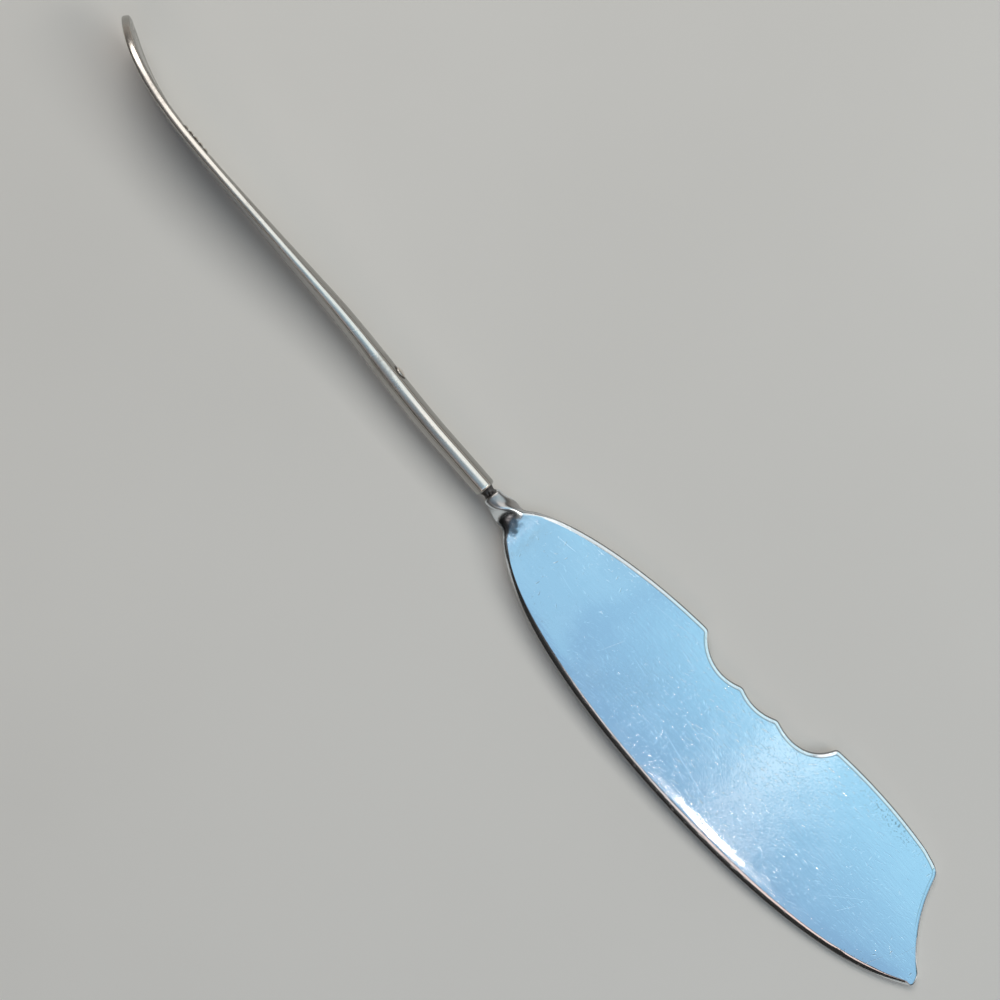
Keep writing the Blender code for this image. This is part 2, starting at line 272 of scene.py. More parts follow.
# %% Lines across the patch, at fixed depths in from each side
RIM_DEPTHS = np.array([
    0.0, 0.006, 0.02, 0.045, 0.085, 0.13, 0.18, 0.25, 0.36, 0.48, 0.57, 0.62, 0.66, 0.7, 0.78, 0.9, 0.97,
    1.06, 1.2, 1.4, 1.65, 1.95, 2.3, 2.7,
])
FACE_LINES = 26
RIM_SHARE = 0.3

width = np.hypot(*(edge - back).T)[:, None]
inner = np.linspace(0.0, 1.0, FACE_LINES + 2)[1:-1]
rim_lines = RIM_DEPTHS * np.minimum(1.0, RIM_SHARE * width / RIM_DEPTHS[-1])
rim_reach = rim_lines[:, -1:]
face_part = (rim_reach + (width - 2 * rim_reach) * inner) / width
across = np.hstack([rim_lines / width, face_part, 1 - rim_lines[:, ::-1] / width])
print("lines across:", across.shape[1])

# %% The patch itself
TIP_PULL_FROM = 60.0


def between(start, end, s):
    """Straight mix of two points: (1-s) of the first and s of the second."""
    return (1 - s)[..., None] * start + s[..., None] * end


ruled = between(back[:, None], edge[:, None], across)
tip_length = run_along(tip_side)[-1]
tip_bend = pick(tip_side, across * tip_length) - between(back[-1], edge[-1], across)
tip_share = np.clip((back[:, 0] - TIP_PULL_FROM) / (back[-1, 0] - TIP_PULL_FROM), 0.0, 1.0) ** 2
plan = ruled + tip_share[:, None, None] * tip_bend
print("patch:", plan.shape)

# %% How far each grid point is in from the outline
BLOCKS = 24


def depth_in(points, line):
    """Shortest distance to a line: the nearest of its points, then straight down onto the two hops there."""
    nearest = np.concatenate([
        np.argmin((block**2).sum(1)[:, None] - 2 * block @ line.T + (line**2).sum(1), axis=1)
        for block in np.array_split(points, BLOCKS)
    ])
    found = np.full(len(points), np.inf)
    for first in (np.maximum(nearest - 1, 0), np.minimum(nearest, len(line) - 2)):
        hop = line[first + 1] - line[first]
        step = np.clip(((points - line[first]) * hop).sum(1) / (hop**2).sum(1), 0.0, 1.0)
        found = np.minimum(found, np.hypot(*(points - line[first] - step[:, None] * hop).T))
    return found


grid_points = plan.reshape(-1, 2)
depth = depth_in(grid_points, outline).reshape(plan.shape[:2])
depth[:, [0, -1]] = 0.0
depth[-1] = 0.0
print("deepest point in mm:", round(depth.max(), 2))

# %% [markdown]
# ## The blade's thickness
#
# The face is not quite flat: years of polishing leave it a little fuller along the middle. At the back it
# slopes away in a shallow band and then turns over. Towards the cutting edge it rolls down a little and
# then falls away in a steeper bevel. The neck is thicker, with flat sides and small round corners. A rounded
# corner is a quarter of a superellipse: a power near 1 gives a bevel, 2 a round edge, and 5 a square one.
# A mirror shows every sudden change of slope as a line, so the slow changes use a step with a smooth bend.

# %% Steps and corners
def glide(value, low, high):
    """Smooth step without a break in its bend: 6s^5 - 15s^4 + 10s^3, so that a mirror shows no line at its ends."""
    s = np.clip((value - low) / (high - low), 0.0, 1.0)
    return s**3 * (10 - 15 * s + 6 * s**2)


def edge_profile(share_in, power):
    """Share of the full height at a share of the way in from the outline: (1 - (1-s)^p)^(1/p)."""
    return (1 - (1 - np.clip(share_in, 0.0, 1.0)) ** power) ** (1 / power)


print("a round edge is at", edge_profile(np.array([0.1, 0.5]), 2.0).round(2), "of its height at 0.1 and 0.5 of the way")

# %% Where the neck ends, and which points belong to the cutting edge and to the back
NECK_ENDS = (5.5, 11.0)
MIDDLE_OF_FACE = (0.4, 0.6)
EDGE_NEARER_BY = (-0.2, 0.5)
BACK_STOPS = (0.25, 0.9)

x, y = plan[..., 0], plan[..., 1]
on_blade = ease(x, *NECK_ENDS)
edge_half = ease(across, *MIDDLE_OF_FACE)
from_tip_side = depth_in(grid_points, tip_side).reshape(depth.shape)
from_edge_side = depth_in(grid_points, edge_side).reshape(depth.shape)
near_edge = edge_half * ease(from_tip_side - from_edge_side, *EDGE_NEARER_BY)
along_back = (1 - edge_half) * ease(from_tip_side, *BACK_STOPS)
print("points by the edge:", int(near_edge.sum()), "and along the back:", int(along_back.sum()))

# %% Widths of the rims and the squareness of their corners
BACK_RIM = 0.18
EDGE_RIM = 0.95
EDGE_RIM_AT_ROOT = 0.62
EDGE_RIM_GROWS = (9.0, 34.0)
EDGE_RIM_AT_TIP = 0.8
EDGE_RIM_SHRINKS = (60.0, 97.0)
UNDER_RIM = 0.5
NECK_RIM = 1.0
BACK_POWER = 2.0
EDGE_POWER = 1.22
UNDER_POWER = 2.0
NECK_POWER = 2.7

edge_rim = EDGE_RIM_AT_ROOT + (EDGE_RIM - EDGE_RIM_AT_ROOT) * ease(x, *EDGE_RIM_GROWS)
edge_rim = edge_rim + (EDGE_RIM_AT_TIP - EDGE_RIM) * ease(x, *EDGE_RIM_SHRINKS)
rim = NECK_RIM + (BACK_RIM + (edge_rim - BACK_RIM) * near_edge - NECK_RIM) * on_blade
power = NECK_POWER + (BACK_POWER + (EDGE_POWER - BACK_POWER) * near_edge - NECK_POWER) * on_blade
under_rim = NECK_RIM + (UNDER_RIM - NECK_RIM) * on_blade
under_power = NECK_POWER + (UNDER_POWER - NECK_POWER) * on_blade
print("rims in mm from", round(rim.min(), 2), "to", round(rim.max(), 2))

# %% Heights of the upper and lower surfaces
NECK_THICKNESS = 3.0
NECK_THINS = (2.9, 10.2)
FACE_CROWN = 0.16
CROWN_FROM = (8.0, 24.0)
CROWN_RIDGE = 1.4
CROWN_RIDGE_RISES = (20.0, 90.0)
CROWN_HALF_WIDTHS = (2.1, 12.8)
CROWN_WIDENS = (4.0, 40.0)
BACK_BEVEL = 0.66
BACK_BEVEL_DROP = 0.1
EDGE_ROLL = 0.105
EDGE_ROLL_REACH = 2.2
EDGE_ROLL_FROM = (12.0, 40.0)
EDGE_ROLL_STOPS = (0.3, 9.0)
EDGE_FACET = 0.036
EDGE_FACET_WIDTH = 0.17
EDGE_FACET_FROM = (42.0, 66.0)

swell = (NECK_THICKNESS - BLANK_THICKNESS) / 2 * (1 - glide(x, *NECK_THINS))
crown_half = CROWN_HALF_WIDTHS[0] + (CROWN_HALF_WIDTHS[1] - CROWN_HALF_WIDTHS[0]) * ease(x, *CROWN_WIDENS)
off_ridge = (y - CROWN_RIDGE * ease(x, *CROWN_RIDGE_RISES)) / crown_half
crown = FACE_CROWN * off_ridge**2 * glide(x, *CROWN_FROM)
bevel = BACK_BEVEL_DROP * (1 - np.clip(depth / BACK_BEVEL, 0.0, 1.0)) * along_back * on_blade
inside_edge = np.clip((depth - edge_rim) / EDGE_ROLL_REACH, 0.0, 1.0)
facet = EDGE_FACET * np.clip(1 - (depth - edge_rim) / EDGE_FACET_WIDTH, 0.0, 1.0) * ease(x, *EDGE_FACET_FROM)
roll = EDGE_ROLL * (1 - inside_edge) ** 2 * glide(x, *EDGE_ROLL_FROM)
roll = (roll + facet) * near_edge * glide(from_tip_side, *EDGE_ROLL_STOPS)
upper = (BLANK_THICKNESS / 2 + swell - crown - bevel - roll) * edge_profile(depth / rim, power)
lower = -(BLANK_THICKNESS / 2 + swell) * edge_profile(depth / under_rim, under_power)
print("thickest in mm:", round((upper - lower).max(), 2))

# %% Small unevenness of a hand-finished face, and a nick in the bevel near the tip
WAVE_HEIGHT = 0.010
WAVES_FROM = (12.0, 22.0)
WAVE_LENGTHS = (7.0, 4.3)
WANDER = (0.6, 0.4)
WANDER_LENGTHS = (5.0, 11.0)
NICK = (89.0, -6.35)
NICK_SIZE = 0.34
NICK_DEPTH = 0.3

ripple_along = np.sin(x / WAVE_LENGTHS[0] + WANDER[0] * np.sin(y / WANDER_LENGTHS[0]))
ripple_across = np.cos(y / WAVE_LENGTHS[1] + WANDER[1] * np.sin(x / WANDER_LENGTHS[1]))
nick = hump(x, NICK[0], NICK_SIZE) * hump(y, NICK[1], NICK_SIZE)
full = np.clip(depth / rim, 0.0, 1.0)
upper += WAVE_HEIGHT * ripple_along * ripple_across * full * ease(x, *WAVES_FROM)
upper -= NICK_DEPTH * nick * np.sqrt(full)
print("waves in mm:", WAVE_HEIGHT, "nick at", NICK)

# %% Rings round the blade, and the quarter turn of the neck
SHOULDER_ROUNDING = 0.35
SHOULDER_PINCH = 0.2
TWIST_ANGLE = math.radians(90)
TWIST = (1.6, 7.2)
TWIST_SKEW = 0.22
TWIST_SKEW_FROM = (2.0, 6.0)


def round_the_blade(top, bottom):
    """One ring per station: along the upper surface from the back to the edge, then back underneath."""
    return np.hstack([top, bottom[:, -2:0:-1]])


ring_x = round_the_blade(x, x)
ring_y = round_the_blade(y, y)
ring_z = round_the_blade(upper, lower)
in_from_end = np.clip((ring_x - SHOULDER) / SHOULDER_ROUNDING, 0.0, 1.0)
pinch = 1 - SHOULDER_PINCH * (1 - np.sqrt(1 - (1 - in_from_end) ** 2))
skewed = ring_x + TWIST_SKEW * ring_y * ease(ring_x, *TWIST_SKEW_FROM)
turn = TWIST_ANGLE * (1 - ease(skewed, *TWIST))
turned_y = pinch * (ring_y * np.cos(turn) - ring_z * np.sin(turn))
turned_z = pinch * (ring_y * np.sin(turn) + ring_z * np.cos(turn))
blade_rings = np.stack([ring_x, turned_y, turned_z], axis=-1)
print("rings:", blade_rings.shape)

# %% [markdown]
# ## From rings to a mesh
#
# Each piece of this knife is a stack of rings, so one helper serves all three. It puts a square between
# each pair of neighbours, closes the open ends, merges the points that meet where a shape comes to a
# line or a point, and turns every face outwards. Numbers that a finish needs, such as how near a point
# is to the edge, go into the mesh as named values.

# %% The ring helper
MERGE = 2e-7
CREASE = math.radians(48)


def ring_piece(name, rings, closed_ends, values):
    """Squares join point j of ring i to its neighbours in the ring and in the next ring; the piece is linked."""
    count, around = rings.shape[:2]
    spot = np.arange(count * around).reshape(count, around)
    beside = np.roll(spot, -1, axis=1)
    squares = np.stack([spot[:-1], beside[:-1], beside[1:], spot[1:]], axis=-1).reshape(-1, 4)
    ends = [spot[end].tolist() for end in closed_ends]
    mesh = bpy.data.meshes.new(name)
    mesh.from_pydata(lay_down(rings.reshape(-1, 3)).tolist(), [], squares.tolist() + ends)
    for label, numbers in values.items():
        mesh.attributes.new(label, "FLOAT", "POINT").data.foreach_set("value", numbers.ravel().astype(np.float32))
    shell = bmesh.new()
    shell.from_mesh(mesh)
    bmesh.ops.remove_doubles(shell, verts=shell.verts, dist=MERGE)
    bmesh.ops.dissolve_degenerate(shell, edges=shell.edges, dist=MERGE)
    bmesh.ops.recalc_face_normals(shell, faces=shell.faces)
    open_edges = sum(not side.is_manifold for side in shell.edges)
    shell.to_mesh(mesh)
    shell.free()
    mesh.shade_smooth()
    mesh.set_sharp_from_angle(angle=CREASE)
    piece = bpy.data.objects.new(name, mesh)
    bpy.context.scene.collection.objects.link(piece)
    print(name, "points:", len(mesh.vertices), "faces:", len(mesh.polygons), "open edges:", open_edges)
    return piece


# %% Where the blade is handled and specked, and where light and shade are painted: a warm edge reflection, dark lines, outline shadows and a dark patch in the neck
EDGE_REFLECTION_HALF = 0.2
EDGE_REFLECTION_FROM = (40.0, 80.0)
CREST_LINE_HALF = 0.08
CREST_LINE_FROM = (11.0, 18.0)
BACK_LINE_IN = 0.09
BACK_LINE_HALF = 0.07
BACK_LINE_FROM = (8.0, 14.0)
TIP_LINE_IN = 0.12
TIP_LINE_HALF = 0.17
HANDLED_LEAST = 0.25
HANDLED_AT = 58.0
HANDLED_REACH = 18.0
SPECKS_AT = (80.0, 13.2)
SPECKS_REACH = (5.2, 0.9)
NECK_SHADE_AT = (6.3, -1.0)
NECK_SHADE_REACH = (1.9, 2.0)

# Painted warm reflection: a pinkish band along the shoulder of the cutting edge, where the rolled edge mirrors warm
# light.
warm_edge_reflection = hump(depth, rim, EDGE_REFLECTION_HALF) * near_edge * ease(x, *EDGE_REFLECTION_FROM)
# A thin dark line painted along the crest of the back bevel.
bevel_crest_line = hump(depth, BACK_BEVEL, CREST_LINE_HALF) * along_back * ease(x, *CREST_LINE_FROM)
# Painted shadow: thin dark lines just inside the back and round the tip's hollow, standing for the contact shadow and
# dark reflection at the outline.
back_line = hump(depth, BACK_LINE_IN, BACK_LINE_HALF) * along_back * ease(x, *BACK_LINE_FROM)
tip_line = hump(from_tip_side, TIP_LINE_IN, TIP_LINE_HALF)
handled = HANDLED_LEAST + (1 - HANDLED_LEAST) * hump(x, HANDLED_AT, HANDLED_REACH)
# Painted shade: a dark patch in the hollow of the neck, standing for the shadow and dark reflection of the twist.
neck_shade = hump(x, NECK_SHADE_AT[0], NECK_SHADE_REACH[0]) * hump(y, NECK_SHADE_AT[1], NECK_SHADE_REACH[1])
specks = hump(x, SPECKS_AT[0], SPECKS_REACH[0]) * hump(y, SPECKS_AT[1], SPECKS_REACH[1])
print("points worn, stained and specked:", [int((mark > 0.5).sum()) for mark in (warm_edge_reflection, neck_shade, specks)])

# %% Build the blade
NECK_FADES = (5.5, 13.0)


def all_round(top):
    """The same number for the upper and the lower surface of the blade."""
    return round_the_blade(top, top)


def top_only(top):
    """The number for the upper surface, and nothing underneath."""
    return round_the_blade(top, 0 * top)


blade = ring_piece(
    "silver_blade",
    blade_rings,
    closed_ends=[0],
    values={
        "rim": all_round(1 - full),
        "neck": all_round(1 - ease(x, *NECK_FADES)),
        "warm_edge_reflection": top_only(warm_edge_reflection),
        "bevel_crest_line": top_only(bevel_crest_line),
        "outline_shadow": top_only(np.maximum(back_line, tip_line)),
        "handled": all_round(handled),
        "neck_shade": top_only(neck_shade),
        "specks": top_only(specks),
    },
)

# %% [markdown]
# ## The handle
#
# The handle is a bar that stands on its edge. Both of its faces are crowned, and its narrow edges have a
# shallow groove on each side. From the neck it swells in height to a rounded end, thins as it goes,
# bows a little and then curls to one side like the end of a scroll. It is drawn as a section carried
# along a bent path: a ring for each place along it.

# %% The handle's path and section
HANDLE_LENGTH = 89.7
SHANK_WIDTH = 4.6
TERMINAL_WIDTH = 14.0
TERMINAL_END_LENGTH = 9.5
SWELL_START = 14.0
NECK_EDGE = 1.95
TERMINAL_EDGE = 1.15
EDGE_THINS_FROM = 15.0
EDGE_THINS_TO = 48.0
NECK_CROWN = 3.4
TERMINAL_CROWN = 1.5
EDGE_ROUNDING = 0.36
EDGE_CANT = 0.1
END_ROUNDING = 0.5
BOW = 1.05
BOW_FROM = 10.0
BOW_TO = 38.0
CURL_START = 56.0
CURL_RISE = 5.4
CURL_POWER = 4
SWELL_END = HANDLE_LENGTH - TERMINAL_END_LENGTH


def fall(value, low, high):
    """Quarter circle from 1 at low to 0 at high: the square root of 1 - s^2."""
    s = np.clip((value - low) / (high - low), 0.0, 1.0)
    return np.sqrt(1 - s * s)


def handle_path(along, sideways, upward):
    """Bow and curl of the middle line, with the section turned to stand square to it as it curls."""
    share = np.clip(along - CURL_START, 0.0, None) / (HANDLE_LENGTH - CURL_START)
    bowed = BOW * ease(along, BOW_FROM, BOW_TO) + CURL_RISE * share**CURL_POWER
    slope = CURL_POWER * CURL_RISE / (HANDLE_LENGTH - CURL_START) * share ** (CURL_POWER - 1)
    tilt = np.arctan(slope)
    return np.stack([-along + sideways * np.sin(tilt), bowed + sideways * np.cos(tilt), upward + 0 * along], axis=-1)


# %% Places along the handle, closer together where there is ornament and at both ends
BEAD_MIDDLE = 68.0
BEAD_RUN = 2.9
BOSS_PLACE = 22.0
BOSS_LENGTH = 0.95
HANDLE_STEPS = 2.6
BEAD_STEPS = 7.0
BOSS_STEPS = 6.0
ORNAMENT_MARGIN = 1.0
PLATEAU = 8
NECK_END_STEPS = 14.0
NECK_END_REACH = 0.6
TIP_END_STEPS = 22.0
TIP_END_REACH = 0.7
RULER_POINTS = 6000

ruler = np.linspace(0.0, HANDLE_LENGTH, RULER_POINTS)
off_beads = (ruler - BEAD_MIDDLE) / (BEAD_RUN + ORNAMENT_MARGIN)
off_boss = (ruler - BOSS_PLACE) / (BOSS_LENGTH + ORNAMENT_MARGIN)
busy = HANDLE_STEPS + BEAD_STEPS * np.exp(-(off_beads**PLATEAU)) + BOSS_STEPS * np.exp(-(off_boss**PLATEAU))
busy += NECK_END_STEPS * np.exp(-ruler / NECK_END_REACH)
busy += TIP_END_STEPS * np.exp((ruler - HANDLE_LENGTH) / TIP_END_REACH)
running = np.cumsum(busy) * (ruler[1] - ruler[0])
places = np.interp(np.linspace(running[0], running[-1], int(running[-1])), running, ruler)
places[0] = 0.0
places = places[:, None]
print("rings along the handle:", len(places))

# %% Widths along the handle
handle_width = SHANK_WIDTH + (TERMINAL_WIDTH - SHANK_WIDTH) * ease(places, SWELL_START, SWELL_END)
edge_width = NECK_EDGE + (TERMINAL_EDGE - NECK_EDGE) * ease(places, EDGE_THINS_FROM, EDGE_THINS_TO)
crown_width = NECK_CROWN + (TERMINAL_CROWN - NECK_CROWN) * ease(places, EDGE_THINS_FROM, SWELL_END)
trim = END_ROUNDING * (1 - fall(END_ROUNDING - places, 0.0, END_ROUNDING))
half_width = handle_width / 2 * fall(places, SWELL_END, HANDLE_LENGTH) - trim
lip = (edge_width / 2 - trim) * fall(places, HANDLE_LENGTH - TERMINAL_EDGE / 2, HANDLE_LENGTH)
bulge = (crown_width - edge_width) / 2 * np.minimum(1.0, 2 * half_width / handle_width)
cap = np.minimum(EDGE_ROUNDING * edge_width / 2, half_width / 2)
flank = half_width - cap
print("handle height in mm:", round(2 * half_width.max(), 2), "edge:", edge_width[[0, -1], 0].round(2))

# %% [markdown]
# ## The ornament on the handle's face
#
# The front of the handle is stamped with a little ornament that is only glimpsed from above: a small oval
# boss near the neck and a short run of beads along the border further out. A thread, which is a low
# raised line that follows the border, is the plainest traditional companion to them. All of it is one
# height over the face, added where the face is drawn, so that it has real shadows and catches the light.

# %% Heights of the thread, the beads and the boss
THREAD_IN = 1.15
THREAD_WIDTH = 0.34
THREAD_HEIGHT = 0.15
INNER_THREAD_IN = 2.0
INNER_THREAD_WIDTH = 0.22
INNER_THREAD_HEIGHT = 0.07
THREAD_FROM = (27.0, 36.0)
BEAD_PITCH = 1.1
BEAD_RADIUS = 0.54
BEAD_TAPER = 0.3
BEAD_HEIGHT = 0.8
BEADS_CLEAR = (0.98, 1.12)
BOSS_HEIGHT = 0.45
BOSS_HALF_WIDTH = 0.5
BOSS_RAISED = 1.3
BOSS_ROUNDING = 0.3


def in_from_border(along, upward):
    """Distance in from the face's border: half the width less the height off the middle, and past the swell the
    share left inside the end's ellipse times half the width."""
    straight = flank - np.abs(upward)
    past = np.clip(along - SWELL_END, 0.0, None) / TERMINAL_END_LENGTH
    inside_end = (1 - np.hypot(past, 2 * upward / TERMINAL_WIDTH)) * TERMINAL_WIDTH / 2
    return np.where(along > SWELL_END, inside_end, straight)


def ornament(along, upward):
    """Bell-shaped ridges along the border, half-round beads at even steps along it, and a half-round oval boss."""
    inward = in_from_border(along, upward)
    started = ease(along, *THREAD_FROM)
    off_beads = np.abs(along - BEAD_MIDDLE) / BEAD_RUN
    beside_beads = ease(off_beads, *BEADS_CLEAR)
    thread = THREAD_HEIGHT * hump(inward, THREAD_IN, THREAD_WIDTH) * beside_beads
    inner_thread = INNER_THREAD_HEIGHT * hump(inward, INNER_THREAD_IN, INNER_THREAD_WIDTH)
    count = np.round((along - BEAD_MIDDLE) / BEAD_PITCH)
    radius = BEAD_RADIUS * (1 - BEAD_TAPER * np.abs(count) * BEAD_PITCH / BEAD_RUN)
    radius = np.where(np.abs(count) * BEAD_PITCH < BEAD_RUN, radius, 1e-6)
    off_middle = np.hypot(along - BEAD_MIDDLE - count * BEAD_PITCH, inward - THREAD_IN)
    beads = BEAD_HEIGHT * radius * np.sqrt(np.clip(1 - (off_middle / radius) ** 2, 0.0, 1.0))
    oval = ((along - BOSS_PLACE) / BOSS_LENGTH) ** 2 + ((upward - BOSS_RAISED) / BOSS_HALF_WIDTH) ** 2
    boss = BOSS_HEIGHT * np.clip(1 - oval, 0.0, 1.0) ** BOSS_ROUNDING
    return (thread + inner_thread) * started + beads + boss


# %% Rings round the handle
FRONT_LINES = 88
BACK_LINES = 26
CAP_LINES = 15
BORDER_CROWDING = 0.45
CANT_FROM = (25.0, 60.0)

step = np.linspace(1.0, -1.0, FRONT_LINES)
front_share = (1 - BORDER_CROWDING) * step + BORDER_CROWDING * np.sin(step * math.pi / 2)
back_share = np.linspace(-1.0, 1.0, BACK_LINES)
cap_turn = np.linspace(0.0, math.pi, CAP_LINES + 2)[1:-1]
front_up = front_share * flank
relief = ornament(places, front_up)
front_out = lip + bulge * (1 - front_share**2) + relief
foot_out, foot_up = lip * np.cos(cap_turn), -flank - cap * np.sin(cap_turn)
back_out, back_up = -lip - bulge * (1 - back_share**2), back_share * flank
crest_out, crest_up = -lip * np.cos(cap_turn), flank + cap * np.sin(cap_turn)
crest_up = crest_up - EDGE_CANT * ease(places, *CANT_FROM) * crest_out * np.sin(cap_turn)
sideways = np.hstack([front_out, foot_out, back_out, crest_out])
upward = np.hstack([front_up, foot_up, back_up, crest_up])
handle_rings = handle_path(places + 0 * sideways, sideways, upward)
print("handle rings:", handle_rings.shape, "relief up to mm:", round(relief.max(), 2))

# %% Build the handle
SEAT_REACH = 3
GROOVE_FROM = 0.9
END_DARKENS = (5.0, 1.0)


def tarnish_seat(heights):
    """Hollows beside raised work: the mean height of the neighbours along and across, less the height itself."""
    along_mean = (np.roll(heights, SEAT_REACH, 0) + np.roll(heights, -SEAT_REACH, 0)) / 2
    across_mean = (np.roll(heights, SEAT_REACH, 1) + np.roll(heights, -SEAT_REACH, 1)) / 2
    return np.clip(np.maximum(along_mean, across_mean) - heights, 0.0, 1.0)


plain = np.zeros((len(places), CAP_LINES + BACK_LINES + CAP_LINES))
raised = np.hstack([relief, plain])
seat = np.hstack([tarnish_seat(relief), plain])
every_ring = np.ones((len(places), 1))
on_cap = np.zeros(CAP_LINES)
to_border = np.concatenate([np.abs(front_share), on_cap, np.abs(back_share), on_cap])
groove = np.clip((to_border - GROOVE_FROM) / (1 - GROOVE_FROM), 0.0, 1.0) * every_ring
face = np.concatenate([0 * front_share + 1, on_cap, 0 * back_share + 1, on_cap]) * every_ring
# Share of the handle's end that the material darkens: a painted dark reflection.
tip = ease(places, HANDLE_LENGTH - END_DARKENS[0], HANDLE_LENGTH - END_DARKENS[1]) * np.ones_like(face)
handle = ring_piece(
    "silver_handle",
    handle_rings,
    closed_ends=[0],
    values={"raised": raised, "seat": seat, "groove": groove, "face": face, "tip": tip},
)

# %% [markdown]
# ## The solder
#
# A bead of solder fills the narrow gap between the handle's end and the neck. It is the only dull, dark
# metal on the knife, a little hollow in the middle and never quite even, as molten metal leaves itself.

# %% Build the solder bead
SOLDER_WIDTH = 3.6
SOLDER_THICKNESS = 2.35
SOLDER_SQUARENESS = 3.2
SOLDER_HOLLOW = 0.2
SOLDER_LUMPS = 0.035
SOLDER_RUNS_IN = 0.1
SOLDER_RINGS = 14
SOLDER_AROUND = 96

share = np.linspace(0.0, 1.0, SOLDER_RINGS)[:, None]
angle = np.linspace(0.0, 2 * math.pi, SOLDER_AROUND, endpoint=False)[None, :]
corners = np.abs(np.cos(angle)) ** SOLDER_SQUARENESS + np.abs(np.sin(angle)) ** SOLDER_SQUARENESS
reach = corners ** (-1 / SOLDER_SQUARENESS)
lumps = SOLDER_LUMPS * (np.sin(5 * angle + 2.0 * share) + 0.6 * np.sin(11 * angle - 5.0 * share))
reach = reach * (1 - SOLDER_HOLLOW * np.sin(math.pi * share)) * (1 - SOLDER_LUMPS + lumps)
solder_x = -SOLDER_RUNS_IN + (SHOULDER + 2 * SOLDER_RUNS_IN) * share + 0 * angle
solder_y = SOLDER_THICKNESS / 2 * reach * np.cos(angle)
solder_z = SOLDER_WIDTH / 2 * reach * np.sin(angle)
solder = ring_piece(
    "solder_bead",
    np.stack([solder_x, solder_y, solder_z], axis=-1),
    closed_ends=[0, -1],
    values={},
)

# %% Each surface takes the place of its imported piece
for piece, node, slot in (
    (blade, "blade", "blade_silver"),
    (handle, "handle", "handle_silver"),
    (solder, "solder_collar", "solder_grey"),
):
    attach(piece, "root")
    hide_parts(node)
    low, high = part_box(node)
    points = np.array([corner for corner in piece.bound_box])
    off = np.concatenate([points.min(0) - low, points.max(0) - high]) * 1000
    print(node, "differs from its packed box by mm:", off.round(2))

# %% [markdown]
# ## Marks that silver gathers
#
# Used silver is never one even shine. Polishing cloths leave hairlines, cutlery drawers leave dings and
# scratches, and sulphur in the air leaves thin brown-grey clouds. Each of these is a node group here, so
# that the blade, the handle and the solder can share them, each with its own amounts.

# %% Small helpers for node trees
def new_node(tree, kind, values=None, **settings):
    """A node of one kind with its settings, and its unlinked inputs set by name."""
    made = tree.nodes.new(kind)
    for key, value in settings.items():
        setattr(made, key, value)
    for socket, value in (values or {}).items():
        made.inputs[socket].default_value = value
    return made


def feed(tree, target, source):
    """Links a socket, or sets a plain number, on another socket."""
    if isinstance(source, bpy.types.NodeSocket):
        tree.links.new(source, target)
    else:
        target.default_value = source


def maths(tree, operation, first, second=0.0, clamp=False):
    """One step of arithmetic on sockets or numbers."""
    made = new_node(tree, "ShaderNodeMath", operation=operation, use_clamp=clamp)
    feed(tree, made.inputs[0], first)
    feed(tree, made.inputs[1], second)
    return made.outputs[0]


def ramp(tree, value, low, high, start=0.0, end=1.0):
    """Smooth rise from start to end as the value goes from low to high."""
    made = new_node(tree, "ShaderNodeMapRange", interpolation_type="SMOOTHSTEP")
    for socket, number in zip(("Value", "From Min", "From Max", "To Min", "To Max"), (value, low, high, start, end)):
        feed(tree, made.inputs[socket], number)
    return made.outputs["Result"]


def blend(tree, share, first, second):
    """Mix of two colours by a share from 0 to 1."""
    made = new_node(tree, "ShaderNodeMix", data_type="RGBA")
    for socket, source in (("Factor_Float", share), ("A_Color", first), ("B_Color", second)):
        feed(tree, next(one for one in made.inputs if one.identifier == socket), source)
    return next(one for one in made.outputs if one.identifier == "Result_Color")


def placed(tree, vector, scale, turn=0.0):
    """Coordinates turned about the upright axis by degrees, then stretched."""
    made = new_node(tree, "ShaderNodeMapping", vector_type="POINT")
    feed(tree, made.inputs["Vector"], vector)
    made.inputs["Rotation"].default_value = (0.0, 0.0, math.radians(turn))
    feed(tree, made.inputs["Scale"], scale)
    return made.outputs["Vector"]


def new_group(name, inputs, outputs):
    """An empty shader group with named inputs (kind and starting value) and named number outputs."""
    group = bpy.data.node_groups.new(name, "ShaderNodeTree")
    for label, (kind, value) in inputs.items():
        socket = group.interface.new_socket(name=label, in_out="INPUT", socket_type=kind)
        if value is not None:
            socket.default_value = value
    for label in outputs:
        group.interface.new_socket(name=label, in_out="OUTPUT", socket_type="NodeSocketFloat")
    return group, group.nodes.new("NodeGroupInput").outputs, group.nodes.new("NodeGroupOutput").inputs


PLACE = ("NodeSocketVector", None)


def number(value):
    """A number input of a group, with its starting value."""
    return ("NodeSocketFloat", value)


# %% Hairlines from polishing
RUBBED_ALONG = -10.0


def make_hairlines():
    """Noise stretched along the blade into fine lines, fading in and out over patches."""
    group, given, out = new_group(
        "hairlines",
        {"Place": PLACE, "Along": number(80.0), "Across": number(4000.0), "Patch": number(90.0)},
        ["Height"],
    )
    stretch = new_node(group, "ShaderNodeCombineXYZ")
    feed(group, stretch.inputs["X"], given["Along"])
    feed(group, stretch.inputs["Y"], given["Across"])
    feed(group, stretch.inputs["Z"], given["Along"])
    lines = new_node(group, "ShaderNodeTexNoise", {"Scale": 1.0, "Detail": 2.0, "Roughness": 0.6})
    feed(group, lines.inputs["Vector"], placed(group, given["Place"], stretch.outputs["Vector"], RUBBED_ALONG))
    patch = new_node(group, "ShaderNodeTexNoise", {"Detail": 2.0})
    feed(group, patch.inputs["Vector"], given["Place"])
    feed(group, patch.inputs["Scale"], given["Patch"])
    strength = ramp(group, patch.outputs["Fac"], 0.35, 0.65, 0.35, 1.0)
    feed(group, out["Height"], maths(group, "MULTIPLY", lines.outputs["Fac"], strength))
    return group


hairlines = make_hairlines()
print("group:", hairlines.name)

